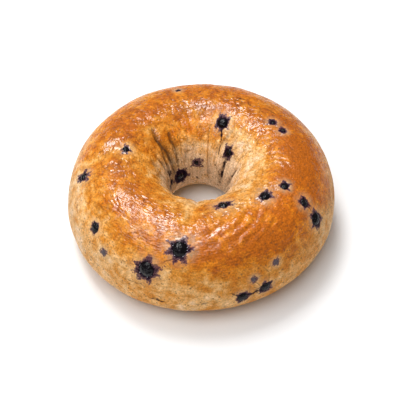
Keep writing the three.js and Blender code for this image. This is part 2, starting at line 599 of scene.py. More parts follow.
    def base_relief(self, skin: Skin) -> Array:
        """Add up the relief that lies under the berries: lumps, creases, puckers, gathers and crinkles.

        Args:
            skin: The crust so far.

        Returns:
            Relief in mm.
        """
        relief = self.lump_height * self.noise(skin, 16.0) + self.dimple_height * self.noise(skin, 7.0, 5.0)
        wobble = 1.0 + 0.35 * self.noise(skin, 2.5, 3.0)
        shade = np.zeros(skin.ring.shape)
        for crease in CREASES:
            distance, share = self.fold_share(skin, crease)
            dip = share * np.exp(-((distance * wobble / crease.width) ** 2))
            relief -= crease.depth * dip
            # Painted shade, darker in the bottom of a darker crease
            shade = np.maximum(shade, crease.dark * dip)
        calm = np.zeros(skin.ring.shape)
        for folds in PUCKERS:
            relief += self.pucker_relief(skin, folds)
            calm = np.maximum(calm, folds.window(skin.ring, skin.tube) * min(folds.height / 0.4, 1.0))
        skin.fields["calm"] = calm
        gathers, strength = self.gathers(skin)
        relief += self.gather_height * (gathers - 0.6) * strength
        # Painted shade, which darkens the tone: in the bottoms of the darker creases and of the gathers
        skin.fields["shade"] = np.clip(shade + 0.6 * (1.0 - gathers) ** 3 * strength, 0.0, 1.0)
        relief += self.stretch_height * STRETCHED(skin.tube) * self.stretch_marks(skin)
        ridges = self.ridge_height * (0.5 - np.abs(self.noise(skin, 3.6, 11.0, 2, 0.4))) * (1.0 - 0.9 * calm)
        crinkles = self.crinkle_height * self.noise(skin, 1.8, 23.0)
        uneven = np.clip(0.7 + 0.9 * self.noise(skin, 8.0, 51.0), 0.2, 1.4)
        relief += (ridges + crinkles) * uneven * (0.35 + 0.65 * RIDGED(skin.tube))
        # The base stays flat
        rest = soft_step(-38.0, -62.0, skin.tube) + soft_step(206.0, 232.0, skin.tube)
        return relief * (1.0 - np.clip(rest, 0.0, 1.0))

    @staticmethod
    def over_tube(skin: Skin, curve: Sequence[tuple[float, float]], patches: Sequence[Patch]) -> Array:
        """Follow a curve over the tube that is the same all round, and add patches to it.

        Args:
            skin: The crust so far.
            curve: Tube angles from -90 to 270, each with the value there.
            patches: What raises or lowers it in places.

        Returns:
            A value for each point.
        """
        tube = turned(skin.tube)
        tube = np.where(tube < -90.0, tube + 360.0, tube)
        angles, heights = zip(*curve)
        values = np.interp(tube, angles, heights)
        for patch in patches:
            values = values + patch(skin.ring, skin.tube)
        return values

    def browning(self, skin: Skin) -> Array:
        """Work out how dark the bake is: 0 for palest and 1 for deepest.

        It is a curve over the tube with patches and pale lines, and noise at two scales.

        Args:
            skin: The crust so far.

        Returns:
            The browning.
        """
        brown = self.over_tube(skin, BROWNING_CURVE, BROWNING)
        for line in PALE_LINES:
            distance, _, _ = self.line_share(skin, line)
            brown -= line.strength * np.exp(-((distance / line.width) ** 2))
        brown += 0.22 * self.noise(skin, 11.0, 70.0, 2)
        brown += 0.19 * self.noise(skin, 3.8, 80.0, 2)
        return brown

    def tone(self, skin: Skin) -> Array:
        """Work out the skin's tone and painted shading: a curve with patches, darker where folds shade it."""
        return self.over_tube(skin, TONE_AND_SHADING_CURVE, TONE_AND_SHADING_PATCHES) * (1.0 - 0.7 * skin.fields["shade"])

    def add_berries(self, skin: Skin, relief: Array) -> Array:
        """Shape and stain the crust round each berry.

        Each stain is 1 at the berry's edge and falls to 0 at its reach, which is longer along its arms. The
        crust dips in a narrow groove at the berry's edge, with a low collar outside it.

        Args:
            skin: The crust so far, whose stain and halo fields are filled in.
            relief: The relief so far, in mm.

        Returns:
            The relief with grooves and collars, in mm.
        """
        stain = np.zeros_like(relief)
        halo = np.zeros_like(relief)
        painted_glint_rings = np.zeros_like(relief)
        ragged = self.noise(skin, 1.5, 13.0, 2) * 0.30
        for berry in self.berries:
            look = berry.look
            away = skin.points - berry.centre
            up = away @ berry.outward
            flat = away - up[..., None] * berry.outward
            distance = lengths(flat)
            near = (np.abs(up) < berry.radius + self.berry_over) & (distance < berry.radius + self.berry_reach)
            edge = berry.edge_radius()
            bearing = np.degrees(np.arctan2(flat @ berry.upslope, flat @ berry.sideways))
            reach = look.reach(bearing)
            soak = np.clip(1.0 - (distance - edge) / reach + ragged * (distance > edge), 0.0, 1.2)
            stain = np.maximum(stain, np.where(near, soak * look.strength, 0.0))
            pale = np.clip(1.0 - (distance - edge) / (look.stain * 1.1 + 1.6), 0.0, 1.0)
            halo = np.maximum(halo, np.where(near, pale * (0.75 + 0.5 * ragged), 0.0))
            # The thin ring round the edge where glints are painted
            wet = np.exp(-(((distance - edge - 0.15) / 0.4) ** 2)) * look.wet
            painted_glint_rings = np.maximum(painted_glint_rings, np.where(near, wet, 0.0))
            groove = -self.groove_depth * np.exp(-(((distance - edge) / self.groove_width) ** 2))
            outside = distance - edge - self.collar_offset
            collar = self.collar_height * np.exp(-((outside / self.collar_width) ** 2))
            relief = relief + np.where(near, (groove + collar) * look.collar, 0.0)
        skin.fields["stain"] = stain
        skin.fields["halo"] = halo
        skin.fields["wet"] = painted_glint_rings
        return relief

    def add_lines(self, skin: Skin) -> None:
        """Add the threads of juice, the slits over deeper berries, the dark cracks and the painted shade lines
        of folds.

        Args:
            skin: The crust, whose fields are added to.
        """
        # The darker folds' bottoms are drawn as painted shade lines, along with the cracks
        cracks_and_crease_shade = list(CRACKS) + [line for crease in CREASES if crease.dark > 0.0 for line in crease.lines()]
        skin.fields["thread"], skin.fields["thread_strength"] = self.drawn_lines(skin, THREADS)
        skin.fields["crack"], skin.fields["crack_strength"] = self.drawn_lines(skin, cracks_and_crease_shade)

    def gloss(self, skin: Skin) -> Array:
        """Work out how glossy the skin is: the crown shines but for patches, and the rest is dull."""
        crown = GLAZED(skin.tube)
        for patch in DULL:
            crown = crown * (1.0 - patch(skin.ring, skin.tube))
        patchy = np.clip(0.95 + 1.0 * self.noise(skin, 6.0, 90.0, 2), 0.15, 1.1)
        return np.clip(0.06 + 0.94 * crown * patchy, 0.0, 1.0)

    def work_out(self) -> Skin:
        """Work out the whole crust.

        Returns:
            The crust's places, points and fields.
        """
        ring, tube = self.dough.grid()
        smooth = self.dough.points(ring, tube)
        skin = Skin(ring, tube, smooth, self.outward(smooth))
        for berry in self.berries:
            berry.lay_out(skin)
        relief = self.base_relief(skin)
        skin.fields["bake"] = self.browning(skin)
        skin.fields["tone"] = self.tone(skin)
        skin.fields["gloss"] = self.gloss(skin)
        skin.fields["wall"] = HOLE_WALL(tube)
        relief = self.add_berries(skin, relief)
        self.add_lines(skin)
        skin.points = self.dough.points(ring, tube, relief)
        return skin

    @staticmethod
    def outward(points: Array) -> Array:
        """Find outward directions on a grid that joins itself both ways, square to both of its lines."""
        round_ring = np.roll(points, -1, axis=0) - np.roll(points, 1, axis=0)
        over_tube = np.roll(points, -1, axis=1) - np.roll(points, 1, axis=1)
        return unit(np.cross(round_ring, over_tube))

    def build(self) -> bpy.types.Object:
        """Make the crust's mesh and dress it.

        Returns:
            The crust.
        """
        skin = self.work_out()
        steps = skin.ring.shape
        index = np.arange(steps[0] * steps[1]).reshape(steps)
        ahead, over = np.roll(index, -1, axis=0), np.roll(index, -1, axis=1)
        both = np.roll(ahead, -1, axis=1)
        faces = np.stack([index, ahead, both, over], axis=-1).reshape(-1, 4)
        piece = make_mesh("crust", skin.points.reshape(-1, 3), faces)
        add_map(piece, self.two_strips(steps))
        for name, values in skin.fields.items():
            add_field(piece, name, values.ravel())
        add_places(piece, "skin", self.stretched(skin, 1.0, 1.0).reshape(-1, 3) * MM)
        CrustFinish().dress(piece)
        return piece

    def two_strips(self, steps: tuple[int, int]) -> Array:
        """Unroll the ring for the map, as two half rings that lie side by side.

        Args:
            steps: The grid's steps round the ring and over the tube.

        Returns:
            A map place for each corner of each face.
        """
        half, gap = steps[0] // 2, self.strip_gap
        i, j = np.meshgrid(np.arange(steps[0]), np.arange(steps[1]), indexing="ij")
        places = []
        for step_i, step_j in ((0, 0), (1, 0), (1, 1), (0, 1)):
            u = (i % half + step_i) / half
            v = (j + step_j) / steps[1]
            strip = (i // half) * 0.5
            across, up = gap + u * (1.0 - 2.0 * gap), strip + gap + v * (0.5 - 2.0 * gap)
            places.append(np.stack([across, up], axis=-1))
        return np.stack(places, axis=2).reshape(-1, 2)


# How brown the crust is over the tube, from the base over the outer side and the crown down the hole
BROWNING_CURVE = (
    (-90, 0.44), (-35, 0.33), (0, 0.32), (20, 0.42), (45, 0.63), (62, 0.79), (78, 0.87), (92, 0.83),
    (112, 0.65), (132, 0.39), (148, 0.13), (172, 0.02), (220, 0.10), (270, 0.44),
)

BROWNING = (
    # The deep brown of the near right side and the right crown
    Patch(308, 52, 44, 22, 0.38),
    Patch(356, 76, 22, 12, 0.26),
    Patch(8, 70, 34, 26, 0.16),
    # Paler places on the crown, from the right over the far side to the left
    Patch(34, 84, 20, 18, -0.16),
    Patch(122, 66, 18, 12, -0.20),
    Patch(180, 78, 14, 18, -0.15),
    Patch(238, 70, 16, 10, -0.10),
    # The orange shoulder of the far left hole wall
    Patch(120, 128, 42, 13, 0.40),
    Patch(186, 122, 28, 14, 0.14),
    # The deep band on the far left crown
    Patch(140, 86, 26, 12, 0.14),
    Patch(88, 103, 20, 7, 0.16),
    Patch(178, 92, 16, 9, 0.14),
    # The pale right shoulder and near rim of the hole
    Patch(345, 120, 72, 18, -0.24),
    Patch(5, 122, 24, 12, -0.14),
    Patch(300, 98, 36, 11, -0.15),
    Patch(55, 130, 16, 14, -0.12),
    # The lower walls of the hole, palest on the right
    Patch(10, 166, 46, 16, -0.24),
    Patch(140, 168, 40, 15, 0.12),
    # The pale low left side, and the browner low front
    Patch(195, 34, 42, 28, -0.20),
    Patch(285, 14, 34, 24, 0.13),
    # The brown front crown beside the joint
    Patch(243, 88, 16, 12, 0.10),
)

# The valley between the swells on the left, and the joint
PALE_LINES = (
    Line((172, 104), (190, 44), 0.22, 4.5),
    Line((259, 88), (266, 142), 0.22, 2.6),
)

# How light the skin is over the tube, partly painted light and shade: darker over the crown and deep in the
# hole, lighter high in the hole
TONE_AND_SHADING_CURVE = (
    (-90, 0.93), (20, 0.95), (45, 1.04), (62, 0.99), (95, 0.93), (114, 0.98), (130, 1.09), (152, 1.05),
    (172, 0.86), (225, 0.95), (270, 0.93),
)

TONE_AND_SHADING_PATCHES = (
    # Painted light: lighter on the near right crown and high in the hole
    Patch(300, 74, 32, 20, 0.08),
    Patch(108, 128, 34, 12, 0.12),
    # Painted shade: darker on the far right side, low on the left and low in front
    Patch(25, 62, 34, 20, -0.10),
    Patch(180, 22, 20, 22, -0.16),
    Patch(283, 16, 34, 20, -0.06),
    # A darker brown line on the far crown behind the hole, and lighter skin right of the front puckers
    Patch(88, 103, 20, 7, -0.20),
    Patch(322, 62, 18, 16, 0.08),
    # Painted shade deep in the hole
    Patch(205, 158, 30, 14, -0.30),
    Patch(150, 172, 40, 12, -0.25),
)

# Where the crown has lost its shine
DULL = (
    Patch(8, 72, 36, 22, 0.86),
    Patch(74, 108, 16, 12, 0.60),
    Patch(90, 66, 40, 12, 0.35),
    Patch(115, 126, 34, 10, 0.50),
    Patch(290, 52, 40, 12, 0.30),
    Patch(322, 68, 18, 22, 0.60),
    Patch(152, 60, 34, 12, 0.55),
    Patch(200, 117, 42, 14, 0.55),
    Patch(350, 58, 30, 14, 0.40),
)

THREADS = (
    # Between the two berries on the right rim
    Line((331, 56), (331, 34), 0.9, 0.26),
    Line((331, 34), (330, 18), 0.8, 0.34),
    # Between the two low berries in front, and up from them
    Line((297, 5), (287, 2), 0.95, 0.50),
    Line((298, 6), (299, 20), 0.7, 0.20),
    Line((299, 20), (297, 28), 0.5, 0.13),
    Line((296, 5), (292, 17), 0.5, 0.15),
    Line((290, 3), (290, 12), 0.5, 0.15),
    Line((287, 2), (283, 8), 0.8, 0.26),
    # From the far berry down into the hole, and on to the fold
    Line((66, 122), (63, 132), 1.0, 0.60),
    Line((63, 132), (61, 138), 0.85, 0.26),
    Line((61, 142), (59, 151), 0.9, 0.30),
    Line((41, 150), (44, 158), 0.95, 0.75),
    Line((44, 158), (45, 168), 0.9, 0.34),
    Line((45, 168), (46, 180), 1.0, 0.50),
    Line((50, 168), (50, 178), 0.8, 0.30),
    # Between the low left berry and the large ones
    Line((228, 26), (241, 31), 0.4, 0.12),
    Line((250, 37), (257, 46), 0.6, 0.26),
    # Slits over berries that lie deeper
    Line((152, 162), (158, 170), 1.0, 1.00),
    Line((158, 170), (166, 174), 1.0, 1.20),
    Line((251, 0), (254, 0), 1.0, 0.50),
    Line((269, 0), (272, 1), 0.7, 0.30),
    Line((67, 84), (61, 83), 0.8, 0.36),
    Line((64, 91), (63, 92), 1.0, 0.42),
    Line((56, 85), (55, 86), 0.9, 0.40),
    Line((43, 80), (38, 78), 0.7, 0.32),
    Line((34, 62), (30, 61), 0.6, 0.30),
    Line((9, 150), (12, 160), 0.8, 0.40),
    Line((98, 181), (94, 184), 0.8, 0.30),
)


class Cover(Enum):
    """What the bake has left on a berry's skin."""

    BARE = 0.0
    DULL = 0.35
    FILMED = 1.0


@dataclass(frozen=True)
class Look:
    """How one berry looks.

    Attributes:
        cover: What lies on its skin.
        stain: How far its juice has soaked past its edge, in mm, along the longest arms.
        arms: Bearings of the stain's arms, in degrees from the ring's direction towards the crown.
        strength: How dark the stain is.
        wet: How strong the ring of painted glints round its edge is.
        collar: How much the crust rises round it.
        roundness: What share of its reach the stain has between its arms.
        size: What share of the solid berry's size the dressed one has.
    """

    cover: Cover = Cover.DULL
    stain: float = 2.8
    arms: tuple[float, ...] = (20, 75, 140, 200, 255, 320)
    strength: float = 0.95
    wet: float = 0.4
    collar: float = 1.0
    roundness: float = 0.22
    size: float = 0.96

    def reach(self, bearing: Array) -> Array:
        """Work out how far the stain reaches: a bell curve round each arm, of uneven widths and lengths.

        Args:
            bearing: Directions from the berry, in degrees.

        Returns:
            The reach past the berry's edge, in mm.
        """
        arms = np.zeros_like(bearing)
        for number, arm in enumerate(self.arms):
            width = 11.0 + 8.0 * ((number * 5 + 2) % 4) / 3.0
            share = 0.72 + 0.28 * ((number * 7 + 3) % 5) / 4.0
            arms = np.maximum(arms, share * np.exp(-((turned(bearing - arm) / width) ** 2)))
        return self.stain * (self.roundness + (1.0 - self.roundness) * arms) + 0.12


LOOKS = {
    "berry_01": Look(Cover.BARE, 4.2, (10, 72, 152, 200, 254, 296), 1.15, 1.0, 1.3, 0.22, 0.9),
    "berry_02": Look(Cover.BARE, 4.6, (23, 90, 162, 205, 243, 287, 345), 1.15, 0.9, 1.2, 0.26),
    "berry_03": Look(Cover.DULL, 4.0, (8, 172, 205, 340), 1.0, 0.5, 0.6, 0.15),
    "berry_04": Look(Cover.BARE, 3.0, (25, 160, 190, 300, 345), 1.1, 0.8, 1.0, 0.12, 0.86),
    "berry_05": Look(Cover.BARE, 2.0, (30, 120, 250, 320), 1.1, 0.6, 0.9, 0.12, 0.82),
    "berry_06": Look(Cover.DULL, 2.6, (60, 130, 210, 290), 1.0, 0.4, 0.7),
    "berry_07": Look(Cover.BARE, 3.2, (70, 120, 190, 250, 275, 320), 1.1, 0.6, 1.0),
    "berry_08": Look(Cover.DULL, 2.4, (40, 100, 180, 215, 330), 1.1, 0.3, 0.8),
    "berry_09": Look(Cover.DULL, 2.4, (20, 60, 130, 200, 240), 1.1, 0.3, 0.8),
    "berry_10": Look(Cover.DULL, 1.7, (80, 140, 230, 290), 1.0, 0.2, 0.7),
    "berry_11": Look(Cover.FILMED, 1.0, (40, 150, 260), 0.5, 0.2, 0.5, 0.7),
    "berry_12": Look(Cover.FILMED, 1.0, (60, 200, 310), 0.5, 0.2, 0.5, 0.6),
    "berry_13": Look(Cover.FILMED, 1.0, (80, 180, 300), 0.5, 0.2, 0.5, 0.6),
    "berry_14": Look(Cover.BARE, 4.4, (40, 64, 88, 150, 225, 250, 275), 1.35, 0.5, 0.9, 0.42),
    "berry_15": Look(Cover.BARE, 2.6, (15, 75, 165, 200, 290, 330), 1.0, 0.9, 1.0),
    "berry_16": Look(Cover.BARE, 3.0, (45, 90, 150, 230, 265, 300), 1.1, 0.7, 1.0, 0.24, 0.86),
    "berry_17": Look(Cover.DULL, 1.8, (10, 90, 180), 1.0, 0.3, 0.5, 0.4),
    "berry_18": Look(Cover.DULL, 1.6, (0, 170, 350), 1.0, 0.3, 0.5, 0.4),
    "berry_19": Look(Cover.DULL, 1.2, (0, 180), 0.9, 0.2, 0.4),
    "berry_20": Look(Cover.DULL, 3.4, (60, 120, 200, 265, 320), 1.1, 0.3, 0.7, 0.26, 0.9),
    "berry_21": Look(Cover.BARE, 3.4, (30, 140, 200, 320), 1.2, 0.0, 0.6, 0.6),
    "berry_22": Look(Cover.BARE, 3.6, (10, 60, 110, 160, 210, 280), 3.6, 0.0, 0.5, 0.80),
}


@dataclass
class Berry:
    """One berry, measured from its solid in the frame.

    Attributes:
        look: How it looks.
        centre: Its middle.
        radius: Half its width along the crust, in mm.
        half_height: Half its height out of the crust, in mm.
        outward: Its short axis, which lay_out turns out of the crust.
        sideways: The direction round the ring along the crust, found by lay_out.
        upslope: The direction across that one along the crust, found by lay_out.
        cover_level: How far over its middle the crust lies, in mm, found by lay_out.
        probe_radius: How near its axis the crust is measured for that, in mm.
        guessed_cover: The share of half its height that is taken where no crust lies over it.
    """

    look: Look
    centre: Array
    radius: float
    half_height: float
    outward: Array
    sideways: Array = field(default_factory=lambda: np.zeros(3))
    upslope: Array = field(default_factory=lambda: np.zeros(3))
    cover_level: float = 0.0
    probe_radius: float = 1.2
    guessed_cover: float = 0.8

    @classmethod
    def from_node(cls, name: str, node: bpy.types.Object) -> "Berry":
        """Measure a berry: its centre, its radius, and its short axis, which points out of the dough.

        The short axis is the direction in which the solid's corners spread least.

        Args:
            name: The node's name.
            node: The node's object in the frame.

        Returns:
            The berry, in mm.
        """
        corners = np.empty(len(node.data.vertices) * 3)
        node.data.vertices.foreach_get("co", corners)
        corners = np.unique(np.round(corners.reshape(-1, 3) / MM, 4), axis=0)
        centre = (corners.min(axis=0) + corners.max(axis=0)) / 2.0
        spread = (corners - centre).T @ (corners - centre)
        axis = np.linalg.eigh(spread)[1][:, 0]
        reach = lengths(corners - centre)
        half_height = float(np.abs((corners - centre) @ axis).max())
        look = LOOKS.get(name, Look())
        return cls(look, centre, float(reach.max()) * look.size, half_height * look.size, axis)

    def lay_out(self, skin: Skin) -> None:
        """Turn the berry's axis out of the crust, and find its sideways and upslope directions and its cover.

        Args:
            skin: The smooth crust.
        """
        nearest = np.unravel_index(np.argmin(lengths(skin.points - self.centre)), skin.ring.shape)
        if self.outward @ skin.outward[nearest] < 0.0:
            self.outward = -self.outward
        turn = math.radians(float(skin.ring[nearest]))
        round_ring = np.array([-math.sin(turn), math.cos(turn), 0.0])
        self.sideways = unit(round_ring - (round_ring @ self.outward) * self.outward)
        self.upslope = np.cross(self.outward, self.sideways)
        away = skin.points - self.centre
        up = away @ self.outward
        over = (up > 0.0) & (lengths(away - up[..., None] * self.outward) < self.probe_radius)
        self.cover_level = float(up[over].mean()) if over.any() else self.guessed_cover * self.half_height

    def edge_radius(self) -> float:
        """Find how wide the berry is where the crust meets it, from the ellipse of its section."""
        share = min(abs(self.cover_level) / self.half_height, 0.98)
        return self.radius * math.sqrt(1.0 - share**2)


@dataclass
class Punnet:
    """All the berries, as one piece with one wrinkled ball for each.

    Attributes:
        berries: The berries.
        sides: Steps round a ball.
        rings: Steps from pole to pole.
        wrinkle_cell: How far apart the larger wrinkles are, in mm.
        wrinkle: How deep the wrinkles are, as a share of the radius, as are the next three.
        dull_wrinkle: The same under a dull skin.
        lump: The broad lumps.
        dent: The dent in the top.
        map_fill: How much of its square of the map each ball's disc fills, as a share of half its side.
        grain: The noise of the wrinkles.
    """

    berries: Sequence[Berry]
    sides: int = 44
    rings: int = 26
    wrinkle_cell: float = 1.1
    wrinkle: float = 0.05
    dull_wrinkle: float = 0.085
    lump: float = 0.05
    dent: float = 0.04
    map_fill: float = 0.46
    grain: Grain = field(default_factory=lambda: Grain(SEED + 1))

    def ball(self, berry: Berry, number: int) -> tuple[Array, Array]:
        """Work out one berry's surface.

        A ball flattened along its outward axis, with a dent to one side of its top, and a skin that shrinks
        into wrinkles: the noise's absolute value, which is sharp in the folds.

        Args:
            berry: The berry.
            number: Its place in the list, which gives each ball other noise.

        Returns:
            Points in mm, pole first and pole last, and how deep each lies in a wrinkle.
        """
        polar = np.linspace(0.0, np.pi, self.rings + 1)[1:-1]
        around = np.arange(self.sides) * 2.0 * np.pi / self.sides
        p, a = (grid.ravel() for grid in np.meshgrid(polar, around, indexing="ij"))
        ways = np.stack([np.sin(p) * np.cos(a), np.sin(p) * np.sin(a), np.cos(p)], axis=-1)
        ways = np.concatenate([[[0.0, 0.0, 1.0]], ways, [[0.0, 0.0, -1.0]]])
        offset = number * 7.7
        large = self.grain(ways * berry.radius / self.wrinkle_cell + offset)
        small = self.grain(ways * berry.radius / (self.wrinkle_cell / 2.0) + offset + 3.0)
        fold = np.abs(large) + 0.5 * np.abs(small)
        wrinkle = self.dull_wrinkle if berry.look.cover is Cover.DULL else self.wrinkle
        lump = self.lump * self.grain(ways * 1.3 + offset + 9.0)
        dent_way = unit(np.array([0.35 * math.cos(number * 2.4), 0.35 * math.sin(number * 2.4), 1.0]))
        dent = self.dent * np.exp(-((np.arccos(np.clip(ways @ dent_way, -1.0, 1.0)) / 0.32) ** 2))
        swell = 1.0 + lump - dent - wrinkle * (0.55 - np.minimum(fold, 0.55)) / 0.55
        local = ways * swell[:, None] * np.array([berry.radius, berry.radius, berry.half_height])
        frame = np.stack([berry.sideways, berry.upslope, berry.outward])
        return berry.centre + local @ frame, np.clip(1.0 - fold / 0.5, 0.0, 1.0)

    def ball_faces(self) -> tuple[Array, Array]:
        """List a ball's faces: triangles at the poles and quads between.

        Returns:
            Corner numbers with -1 in a triangle's last place, and each corner's place on a disc for the map.
        """
        n, s = self.rings - 1, self.sides
        index = 1 + np.arange(n * s).reshape(n, s)
        last = n * s + 1
        turn = np.roll(index, -1, axis=1)
        none = np.full(s, -1)
        top = np.stack([np.zeros(s, int), index[0], turn[0], none], axis=-1)
        sides = np.stack([index[:-1], index[1:], turn[1:], turn[:-1]], axis=-1).reshape(-1, 4)
        bottom = np.stack([np.full(s, last), turn[-1], index[-1], none], axis=-1)
        i, j = np.meshgrid(np.arange(n - 1), np.arange(s), indexing="ij")

        def disc(ring_step: Array, side_step: Array) -> Array:
            """Place a corner on a disc by its distance from the top."""
            angle = side_step * 2.0 * np.pi / s
            reach = ring_step / self.rings
            return np.stack([reach * np.cos(angle), reach * np.sin(angle)], axis=-1)

        k = np.arange(s)
        first, low, pole = 0 * k, 0 * k + n, 0 * k + n + 1
        top_places = [disc(first, k), disc(first + 1, k), disc(first + 1, k + 1), disc(first, k)]
        side_places = [disc(i + 1, j), disc(i + 2, j), disc(i + 2, j + 1), disc(i + 1, j + 1)]
        bottom_places = [disc(pole, k + 0.5), disc(low, k + 1), disc(low, k), disc(first, k)]
        parts = (top_places, side_places, bottom_places)
        places = np.concatenate([np.stack(corners, axis=-2).reshape(-1, 4, 2) for corners in parts])
        return np.concatenate([top, sides, bottom]), places

    def build(self) -> bpy.types.Object:
        """Join the balls in one mesh and dress it.

        Returns:
            The berries.
        """
        corner_list, place_list = self.ball_faces()
        points, depths, covers, faces, places = [], [], [], [], []
        across = math.ceil(math.sqrt(len(self.berries)))
        size = 1.0 / across
        for number, berry in enumerate(self.berries):
            ball, depth = self.ball(berry, number)
            start = number * len(ball)
            faces.append(np.where(corner_list < 0, -1, corner_list + start))
            middle = np.array([number % across + 0.5, number // across + 0.5]) * size
            places.append(middle + place_list * size * self.map_fill)
            points.append(ball)
            depths.append(depth)
            covers.append(np.full(len(ball), berry.look.cover.value))
        corners = np.concatenate(faces)
        piece = make_mesh("berries", np.concatenate(points), corners)
        kept = (corners >= 0).ravel()
        add_map(piece, np.concatenate(places).reshape(-1, 2)[kept])
        add_field(piece, "fold", np.concatenate(depths))
        add_field(piece, "cover", np.concatenate(covers))
        BerryFinish().dress(piece)
        return piece


def make_mesh(name: str, points: Array, faces: Array) -> bpy.types.Object:
    """Make a smooth-shaded mesh object from whole arrays.

    Args:
        name: The piece's name.
        points: Corners in mm.
        faces: Corner numbers of each face, with -1 in the last place of a triangle.

    Returns:
        The object, at the origin, with its mesh in metres.
    """
    mesh = bpy.data.meshes.new(name)
    count = np.where(faces[:, -1] < 0, 3, 4)
    corners = faces.ravel()[(faces >= 0).ravel()]
    mesh.vertices.add(len(points))
    mesh.vertices.foreach_set("co", (points * MM).astype(np.float32).ravel())
    mesh.loops.add(len(corners))
    mesh.loops.foreach_set("vertex_index", corners.astype(np.int32))
    mesh.polygons.add(len(faces))
    mesh.polygons.foreach_set("loop_start", np.concatenate([[0], np.cumsum(count)[:-1]]).astype(np.int32))
    mesh.polygons.foreach_set("use_smooth", np.ones(len(faces), bool))
    mesh.update(calc_edges=True)
    mesh.validate()
    piece = bpy.data.objects.new(name, mesh)
    bpy.context.scene.collection.objects.link(piece)
    return piece


def add_field(piece: bpy.types.Object, name: str, values: Array) -> None:
    """Keep a value for each corner of a mesh, for its material to read."""
    layer = piece.data.attributes.new(name, "FLOAT", "POINT")
    layer.data.foreach_set("value", values.astype(np.float32))


def add_places(piece: bpy.types.Object, name: str, places: Array) -> None:
    """Keep a place for each corner of a mesh, for patterns that follow the surface."""
    layer = piece.data.attributes.new(name, "FLOAT_VECTOR", "POINT")
    layer.data.foreach_set("vector", places.astype(np.float32).ravel())


def add_map(piece: bpy.types.Object, places: Array) -> None:
    """Give a mesh its own map, one place for each corner of each face."""
    layer = piece.data.uv_layers.new(name="OFBake")
    layer.data.foreach_set("uv", places.astype(np.float32).ravel())


class Signal:
    """A shader socket that takes part in Python arithmetic. Each operation adds a Math node."""

    def __init__(self, paint: "Paint", socket: bpy.types.NodeSocket) -> None:
        """Keep the socket and the material it belongs to."""
        self.paint = paint
        self.socket = socket

    def math(self, operation: str, *others: Any) -> "Signal":
        """Add a Math node whose first value is this signal."""
        return self.paint.math(operation, self, *others)

    def __add__(self, other: Any) -> "Signal":
        """Add."""
        return self.math("ADD", other)

    def __radd__(self, other: Any) -> "Signal":
        """Add, the other way round."""
        return self.math("ADD", other)

    def __sub__(self, other: Any) -> "Signal":
        """Subtract."""
        return self.math("SUBTRACT", other)

    def __rsub__(self, other: Any) -> "Signal":
        """Subtract from the other."""
        return self.paint.math("SUBTRACT", other, self)

    def __mul__(self, other: Any) -> "Signal":
        """Multiply."""
        return self.math("MULTIPLY", other)

    def __rmul__(self, other: Any) -> "Signal":
        """Multiply, the other way round."""
        return self.math("MULTIPLY", other)

    def size(self) -> "Signal":
        """Drop the sign."""
        return self.math("ABSOLUTE")

    def rise(self, low: float, high: float) -> "Signal":
        """Rise smoothly from 0 at low to 1 at high."""
        settings = {"interpolation_type": "SMOOTHSTEP"}
        sockets = {"Value": self, "From Min": low, "From Max": high}
        return self.paint.node("ShaderNodeMapRange", settings, sockets, "Result")


